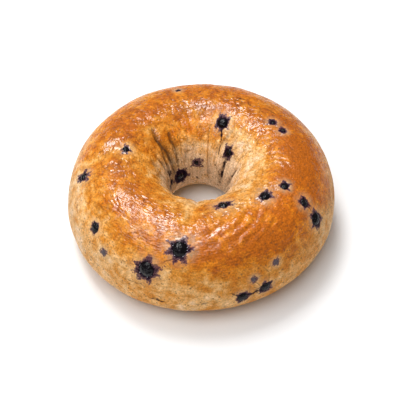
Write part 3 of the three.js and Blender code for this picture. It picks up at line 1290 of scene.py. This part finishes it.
class Paint:
    """A material under construction, and the one way to add nodes to it."""

    def __init__(self, name: str) -> None:
        """Start a material with only its output.

        Args:
            name: The material's name.
        """
        self.material = bpy.data.materials.new(name)
        self.material.use_nodes = True
        self.tree = self.material.node_tree
        self.tree.nodes.clear()
        self.places = self.node("ShaderNodeTexCoord", {}, {}, "Object")

    def node(self, kind: str, settings: dict[str, Any], sockets: dict[Any, Any], out: Any) -> Signal:
        """Add a node, set it up and fill its sockets.

        Args:
            kind: The node's type.
            settings: The node's own settings, set first. stops are a ramp's positions and colours.
            sockets: Values or signals for the sockets, by name or number.
            out: The name or number of the socket that is wanted.

        Returns:
            The wanted output.
        """
        made = self.tree.nodes.new(kind)
        for key, value in settings.items():
            if key == "stops":
                self.fill_ramp(made.color_ramp, value)
            else:
                setattr(made, key, value)
        for key, value in sockets.items():
            socket = self.find(made.inputs, key)
            if isinstance(value, Signal):
                self.tree.links.new(value.socket, socket)
            else:
                socket.default_value = value
        return Signal(self, self.find(made.outputs, out))

    @staticmethod
    def find(sockets: Any, key: Any) -> bpy.types.NodeSocket:
        """Find a socket by its number, its identifier or its name."""
        if isinstance(key, int):
            return sockets[key]
        same_mark = [socket for socket in sockets if socket.identifier == key]
        same_name = [socket for socket in sockets if socket.name == key and socket.enabled]
        return (same_mark or same_name)[0]

    @staticmethod
    def fill_ramp(ramp: bpy.types.ColorRamp, stops: Sequence[tuple[float, Colour]]) -> None:
        """Put the stops in a colour ramp."""
        while len(ramp.elements) < len(stops):
            ramp.elements.new(0.5)
        for element, (position, colour) in zip(ramp.elements, stops):
            element.position = position
            element.color = (*colour, 1.0)

    def math(self, operation: str, *values: Any) -> Signal:
        """Add a Math node with these values."""
        return self.node("ShaderNodeMath", {"operation": operation}, dict(enumerate(values)), 0)

    def attribute(self, name: str) -> Signal:
        """Read one of the piece's own fields."""
        return self.node("ShaderNodeAttribute", {"attribute_name": name}, {}, "Fac")

    def grey(self, value: Signal) -> Signal:
        """Turn a value into a grey colour."""
        return self.node("ShaderNodeCombineColor", {}, {0: value, 1: value, 2: value}, 0)

    def mix(self, share: Any, first: Any, second: Any, blend: str = "MIX") -> Signal:
        """Mix two colours by a share."""
        sockets = {
            "Factor_Float": share,
            "A_Color": first if isinstance(first, Signal) else (*first, 1.0),
            "B_Color": second if isinstance(second, Signal) else (*second, 1.0),
        }
        return self.node("ShaderNodeMix", {"data_type": "RGBA", "blend_type": blend}, sockets, "Result_Color")

    def ramp(self, value: Any, stops: Sequence[tuple[float, Colour]]) -> Signal:
        """Turn a value into a colour by a ramp."""
        return self.node("ShaderNodeValToRGB", {"stops": stops}, {"Fac": value}, "Color")

    def noise(
        self, cell: float, detail: float = 2.0, rough: float = 0.5, over: Optional[Signal] = None
    ) -> Signal:
        """Add noise with cells of a size in mm, 0 to 1, in space or over other places.

        Args:
            cell: The size of a cell in mm.
            detail: How many finer layers are added.
            rough: How strong each finer layer is.
            over: Other places to read it at.

        Returns:
            The noise.
        """
        places = over or self.places
        sockets = {"Vector": places, "Scale": 1.0 / (cell * MM), "Detail": detail, "Roughness": rough}
        return self.node("ShaderNodeTexNoise", {}, sockets, "Fac")

    def squeezed(self, name: str, shares: tuple[float, float, float]) -> Signal:
        """Read places that the piece keeps and squeeze them, which draws a pattern out by as much."""
        kept = self.node("ShaderNodeAttribute", {"attribute_name": name}, {}, "Vector")
        return self.node("ShaderNodeVectorMath", {"operation": "MULTIPLY"}, {0: kept, 1: shares}, 0)

    def cells(self, cell: float) -> Signal:
        """Add a pattern of cells of a size in mm, as the distance from the nearest cell's middle."""
        sockets = {"Vector": self.places, "Scale": 1.0 / (cell * MM)}
        return self.node("ShaderNodeTexVoronoi", {}, sockets, "Distance")

    def bump(self, height: Signal) -> Signal:
        """Turn a height in mm into a surface direction."""
        return self.node("ShaderNodeBump", {}, {"Height": height, "Distance": MM, "Strength": 1.0}, "Normal")

    def shader(
        self, colour: Signal, roughness: Any, ior: float = 1.5, normal: Optional[Signal] = None
    ) -> Signal:
        """Add the one surface shader that every finish uses.

        Args:
            colour: Its base colour.
            roughness: How rough it is, as a value or a signal.
            ior: How strongly it mirrors, as its index of refraction.
            normal: Its surface direction, where it has relief.

        Returns:
            The shader.
        """
        sockets = {"Base Color": colour, "Roughness": roughness, "IOR": ior}
        if normal:
            sockets["Normal"] = normal
        return self.node("ShaderNodeBsdfPrincipled", {}, sockets, "BSDF")

    def blend(self, share: Signal, first: Signal, second: Signal) -> Signal:
        """Mix two shaders by a share."""
        return self.node("ShaderNodeMixShader", {}, {0: share, 1: first, 2: second}, 0)

    def finish(self, piece: bpy.types.Object, shader: Signal) -> None:
        """Close the material with a shader and put it on a piece."""
        output = self.tree.nodes.new("ShaderNodeOutputMaterial")
        self.tree.links.new(shader.socket, output.inputs["Surface"])
        piece.data.materials.clear()
        piece.data.materials.append(self.material)


@dataclass(frozen=True)
class CrustPatterns:
    """The fields and noises that the crust's colour, relief and gloss share.

    Attributes:
        gloss: Where the skin shines.
        wall: Where it lies in the hole.
        stain: How much juice is in it.
        crack: The cracks, and the painted shade along the bottoms of folds.
        grain: Fine noise, from -0.5 to 0.5, as are the next two.
        mottle: Coarse noise.
        speckle: The finest noise.
        folds: The wrinkles of the shining skin, 0 in their bottoms.
        streaks: Noise drawn out round the ring.
        gathers: Noise drawn out up the wall of the hole.
        calm: Where the large puckers leave no room for wrinkles.
        spots: Brown spots, a little sunk.
        pits: Smaller ones, which are drawn only.
    """

    gloss: Signal
    wall: Signal
    stain: Signal
    crack: Signal
    grain: Signal
    mottle: Signal
    speckle: Signal
    folds: Signal
    streaks: Signal
    gathers: Signal
    calm: Signal
    spots: Signal
    pits: Signal

    @property
    def dull(self) -> Signal:
        """Where the skin doesn't shine."""
        return 1.0 - self.gloss

    @property
    def side(self) -> Signal:
        """Where it is dull but not in the hole."""
        return self.dull * (1.0 - self.wall)


@dataclass(frozen=True)
class CrustFinish:
    """The baked crust: five colours from palest to deepest, purple where juice soaked in, glazed on top.

    The shares say how fully a mark covers the crust, the shades how much a noise lightens or darkens it, and
    the heights how far it stands out or sinks, in mm.
    """

    palest: Colour = (0.83, 0.57, 0.35)
    pale: Colour = (0.79, 0.44, 0.160)
    gold: Colour = (0.68, 0.270, 0.034)
    brown: Colour = (0.59, 0.178, 0.006)
    deepest: Colour = (0.46, 0.112, 0.004)
    # Dark brown for the cracks and for the painted shade along folds' bottoms
    crack: Colour = (0.085, 0.038, 0.015)
    speck: Colour = (0.16, 0.065, 0.018)
    halo: Colour = (0.62, 0.43, 0.24)
    juice_edge: Colour = (0.058, 0.015, 0.052)
    juice: Colour = (0.012, 0.003, 0.012)
    # Painted glints: pale dots round the berries' edges
    painted_glint: Colour = (0.62, 0.58, 0.64)
    matt_roughness: float = 0.6
    matt_ior: float = 1.25
    glaze_roughness: float = 0.22
    glaze_ior: float = 1.60
    juice_roughness: float = 0.5
    juice_ior: float = 1.15
    speck_share: float = 0.8
    crack_and_crease_shade_share: float = 0.85
    halo_share: float = 0.60
    edge_share: float = 0.85
    speckle_shade: float = 1.5
    grain_shade: float = 0.6
    mottle_shade: float = 0.5
    # Painted shade in the bottoms of the glaze's wrinkles
    fold_shade: float = 0.26
    streak_shade: float = 0.3
    gather_shade: float = 0.5
    fold_height: float = 0.08
    glossy_fold_height: float = 0.22
    pebble_height: float = 0.16
    grain_height: float = 0.16
    streak_height: float = 0.22
    gather_height: float = 0.26
    spot_height: float = -0.06
    crack_height: float = -0.15

    def patterns(self, paint: Paint) -> CrustPatterns:
        """Read the piece's fields and add the noises over it.

        Args:
            paint: The material.

        Returns:
            The patterns.
        """
        gloss, wall, stain, calm = (paint.attribute(name) for name in ("gloss", "wall", "stain", "calm"))
        bare = 1.0 - gloss
        wrinkles = paint.noise(1.9, 1.0, 0.45, paint.squeezed("skin", (0.5, 0.5, 1.0)))
        streaks = paint.noise(1.0, 3.0, 0.6, paint.squeezed("skin", (0.12, 0.12, 1.0)))
        gathers = paint.noise(0.8, 3.0, 0.6, paint.squeezed("skin", (1.0, 1.0, 0.16)))
        spots = paint.cells(2.3).rise(0.26, 0.12) * paint.noise(3.7, 1.0).rise(0.46, 0.58)
        pits = paint.cells(1.4).rise(0.30, 0.14) * paint.noise(5.0, 2.0).rise(0.45, 0.58)
        return CrustPatterns(
            gloss=gloss,
            wall=wall,
            stain=stain,
            crack=self.drawn(paint, "crack"),
            grain=paint.noise(0.9, 3.0, 0.65) - 0.5,
            mottle=paint.noise(3.2, 3.0, 0.55) - 0.5,
            speckle=paint.noise(0.65, 2.0, 0.6) - 0.5,
            folds=(wrinkles - 0.5).size() * 2.0,
            streaks=streaks,
            gathers=gathers,
            calm=calm,
            spots=spots * (0.4 + bare * 0.6),
            pits=pits * (0.3 + bare * 0.7),
        )

    def baked(self, paint: Paint, on: CrustPatterns) -> Signal:
        """Work out the colour of the dry crust: the browning's colour, times its tone and painted shading.

        Args:
            paint: The material.
            on: The patterns.

        Returns:
            The colour.
        """
        # Painted shade in the bottoms of the glaze's wrinkles: darker there, and a little deeper orange
        lines = on.folds.rise(0.30, 0.0) * on.gloss * (1.0 - on.calm * 0.6)
        side_streaks, wall_gathers = (on.streaks - 0.5) * on.side, (on.gathers - 0.5) * on.wall
        depth = paint.attribute("bake") + on.mottle * (0.78 + on.gloss * 0.3 - on.wall * 0.25)
        depth = depth + on.grain * 0.22 + side_streaks * 0.24 + wall_gathers + lines * 0.08
        stops = enumerate((self.palest, self.pale, self.gold, self.brown, self.deepest))
        colour = paint.ramp(depth - 0.03, [(number / 4.0, stop) for number, stop in stops])
        tone = 1.03 - on.speckle * self.speckle_shade - on.grain * self.grain_shade
        tone = tone - on.mottle * self.mottle_shade - lines * self.fold_shade
        tone = tone - side_streaks * self.streak_shade - wall_gathers * self.gather_shade
        return paint.mix(1.0, colour, paint.grey(tone * paint.attribute("tone")), "MULTIPLY")

    def marked(self, paint: Paint, on: CrustPatterns, colour: Signal, ragged: Signal) -> Signal:
        """Add specks, cracks, painted shade along folds, the pale rims round the berries and the purple edge
        of the juice.

        Args:
            paint: The material.
            on: The patterns.
            colour: The colour of the dry crust.
            ragged: How much juice is in it, with uneven edges.

        Returns:
            The colour with its marks.
        """
        rims = (paint.attribute("halo") * (1.0 + on.mottle * 2.0)).rise(0.0, 1.0)
        colour = paint.mix(on.pits.math("MAXIMUM", on.spots) * self.speck_share, colour, self.speck)
        # Cracks, and painted shade along the bottoms of the darker folds, in dark brown
        colour = paint.mix(on.crack * self.crack_and_crease_shade_share, colour, self.crack)
        colour = paint.mix(rims * self.halo_share, colour, self.halo)
        return paint.mix(ragged.rise(0.05, 0.40) * self.edge_share, colour, self.juice_edge)

    def relief(self, paint: Paint, on: CrustPatterns) -> Signal:
        """Work out the fine relief of the skin, in mm, as a surface direction.

        Args:
            paint: The material.
            on: The patterns.

        Returns:
            The surface direction.
        """
        pebbles = paint.noise(0.65, 0.0, 0.5, paint.squeezed("skin", (0.55, 0.55, 1.0)))
        fold_height = self.fold_height + on.gloss * self.glossy_fold_height
        height = on.folds * fold_height * (1.0 - on.calm * 0.7)
        height = height + pebbles * self.pebble_height + on.grain * on.dull * self.grain_height
        height = height + on.streaks * on.side * self.streak_height + on.gathers * on.wall * self.gather_height
        return paint.bump(height + on.spots * self.spot_height + on.crack * self.crack_height)

    def dress(self, piece: bpy.types.Object) -> None:
        """Make the crust's material and put it on a piece.

        Args:
            piece: The crust.
        """
        paint = Paint("baked_crust")
        on = self.patterns(paint)
        ragged = on.stain * 0.9 + (on.grain * 0.8 + on.speckle * 1.3) * on.stain.rise(0.0, 0.25)
        colour = self.marked(paint, on, self.baked(paint, on), ragged)
        normal = self.relief(paint, on)
        matt = paint.shader(colour, self.matt_roughness, self.matt_ior, normal)
        glaze = paint.shader(colour, self.glaze_roughness + on.grain * 0.1, self.glaze_ior, normal)
        shining = on.gloss * (0.15 + 0.85 * paint.noise(1.4, 2.0).rise(0.35, 0.50))
        # Painted glints: pale dots in a thin ring round each berry, in the juice's colour
        painted_glint_dots = (paint.attribute("wet") * paint.noise(0.42, 0.0)).rise(0.44, 0.54)
        juice = paint.mix(painted_glint_dots, self.juice, self.painted_glint)
        soaked = paint.shader(juice, self.juice_roughness, self.juice_ior, normal)
        share = ragged.rise(0.34, 0.94).math("MAXIMUM", self.drawn(paint, "thread"))
        paint.finish(piece, paint.blend(share, paint.blend(shining, matt, glaze), soaked))

    @staticmethod
    def drawn(paint: Paint, name: str) -> Signal:
        """Draw the thin lines of one kind, with an unsteady edge.

        Args:
            paint: The material.
            name: The field that holds how far off the lines are.

        Returns:
            How strong the line is, 0 to 1.
        """
        offset = paint.attribute(name) + (paint.noise(1.6, 3.0, 0.6) - 0.5) * 4.5
        broken = paint.noise(2.2, 2.0).rise(0.38, 0.52)
        return offset.size().rise(1.5, 0.4) * paint.attribute(name + "_strength") * (0.35 + broken * 0.65)


@dataclass(frozen=True)
class BerryFinish:
    """A cooked berry: nearly black wet skin with a faint purple bloom, or grey under a film of dough."""

    skin: Colour = (0.003, 0.002, 0.003)
    bloom: Colour = (0.016, 0.012, 0.020)
    film: Colour = (0.17, 0.125, 0.135)
    wet_roughness: float = 0.13
    ior: float = 1.30

    def dress(self, piece: bpy.types.Object) -> None:
        """Make the berries' material and put it on a piece.

        Args:
            piece: The berries.
        """
        paint = Paint("berry_skin")
        fold, cover = paint.attribute("fold"), paint.attribute("cover")
        mottle = paint.noise(1.2, 1.0, 0.5)
        fine = paint.noise(0.45, 1.0, 0.5)
        colour = paint.mix(mottle.rise(0.50, 0.75) * 0.4, self.skin, self.bloom)
        filmed = cover.rise(0.5, 1.0) * (0.55 + mottle * 0.4) * (1.0 - fold * 0.6)
        colour = paint.mix(filmed, colour, self.film)
        roughness = self.wet_roughness + cover * 0.4 + (fine - 0.5) * 0.1
        normal = paint.bump(mottle * 0.35 + fine * 0.05)
        paint.finish(piece, paint.shader(colour, roughness, self.ior, normal))


@dataclass(frozen=True)
class SoftBox:
    """A square light that faces the bagel: the way to it, its distance and side in metres, and its watts."""

    name: str
    way: tuple[float, float, float]
    distance: float
    side: float
    power: float

    def hang(self, target: Vector) -> None:
        """Hang the light and turn it to a point in metres."""
        data = bpy.data.lights.new(self.name, "AREA")
        data.shape = "SQUARE"
        data.size = self.side
        data.energy = self.power
        light = bpy.data.objects.new(self.name, data)
        way = Vector(self.way).normalized()
        light.rotation_euler = way.to_track_quat("Z", "Y").to_euler()
        light.location = target + way * self.distance
        bpy.context.scene.collection.objects.link(light)


@dataclass
class Studio:
    """The floor, the soft lights and the camera.

    Attributes:
        look_at: The point that the camera and the lights face, in mm.
        camera_elevation: How far over the floor the camera stands, in degrees.
        camera_distance: From that point to the camera, in mm.
        focal_pixels: The focal length in pixels of the photograph.
        image_pixels: The photograph's width and height.
        sensor: The camera's sensor width, in mm.
        centre_x: The pixel across at which the photograph shows the point.
        centre_y: The pixel down at which it shows it.
        soft_boxes: The lights.
        ambient: The strength of the even light from all round.
        floor_size: The floor's side in metres.
        floor_colour: The floor's colour.
        floor_roughness: How rough it is.
    """

    look_at: tuple[float, float, float] = (0.0, 0.0, 18.0)
    camera_elevation: float = 47.65
    camera_distance: float = 418.0
    focal_pixels: float = 1030.4
    image_pixels: float = 400.0
    sensor: float = 36.0
    centre_x: float = 201.0
    centre_y: float = 189.5
    soft_boxes: tuple[SoftBox, ...] = (
        SoftBox("behind", (-0.19, 0.36, 0.91), 1.0, 0.37, 7.0),
        SoftBox("front_left", (-0.28, -0.27, 0.92), 1.2, 1.0, 10.5),
    )
    ambient: float = 0.22
    floor_size: float = 3.0
    floor_colour: Colour = (0.885, 0.895, 0.905)
    floor_roughness: float = 0.9

    def place_camera(self) -> None:
        """Stand the camera at the photograph's angle, shifted so that the bagel shows in the same place."""
        data = bpy.data.cameras.new("camera")
        data.sensor_width = self.sensor
        data.lens = self.focal_pixels / self.image_pixels * self.sensor
        half = self.image_pixels / 2.0
        data.shift_x = (half - self.centre_x) / self.image_pixels
        data.shift_y = (self.centre_y - half) / self.image_pixels
        data.clip_start, data.clip_end = 0.01, 20.0
        camera = bpy.data.objects.new("camera", data)
        rise = math.radians(self.camera_elevation)
        back = Vector((0.0, -math.cos(rise), math.sin(rise)))
        camera.location = (Vector(self.look_at) + back * self.camera_distance) * MM
        camera.rotation_euler = back.to_track_quat("Z", "Y").to_euler()
        bpy.context.scene.collection.objects.link(camera)
        bpy.context.scene.camera = camera

    def fill(self) -> None:
        """Set the even grey light from all round."""
        world = bpy.data.worlds.new("surroundings")
        world.use_nodes = True
        back = world.node_tree.nodes["Background"]
        back.inputs["Color"].default_value = (1.0, 1.0, 1.0, 1.0)
        back.inputs["Strength"].default_value = self.ambient
        bpy.context.scene.world = world

    def lay_floor(self) -> None:
        """Lay the white floor."""
        half = self.floor_size / 2.0 / MM
        corners = np.array([[-half, -half, 0.0], [half, -half, 0.0], [half, half, 0.0], [-half, half, 0.0]])
        floor = make_mesh("floor", corners, np.array([[0, 1, 2, 3]]))
        paint = Paint("floor_paper")
        plain = paint.grey(1.0 + (paint.noise(40.0) - 0.5) * 0.01)
        colour = paint.mix(1.0, plain, self.floor_colour, "MULTIPLY")
        paint.finish(floor, paint.shader(colour, self.floor_roughness))

    def set_up(self) -> None:
        """Set up the whole studio."""
        self.place_camera()
        for soft_box in self.soft_boxes:
            soft_box.hang(Vector(self.look_at) * MM)
        self.fill()
        self.lay_floor()
        bpy.context.scene.view_settings.view_transform = "Standard"


def main() -> None:
    """Load the frame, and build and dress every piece."""
    logging.basicConfig(level=logging.INFO, format="%(name)s: %(message)s")
    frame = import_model()
    names = sorted(name for name in frame["nodes"] if name.startswith("berry_"))
    berries = [Berry.from_node(name, frame["nodes"][name]) for name in names]

    crust = Shell(Dough(), berries).build()
    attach(crust, BODY)
    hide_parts("dough")
    LOG.info("crust: %d faces", len(crust.data.polygons))

    punnet = Punnet(berries).build()
    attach(punnet, BODY)
    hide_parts(*names)
    LOG.info("berries: %d balls, %d faces", len(berries), len(punnet.data.polygons))

    Studio().set_up()


if __name__ == "__main__":
    main()
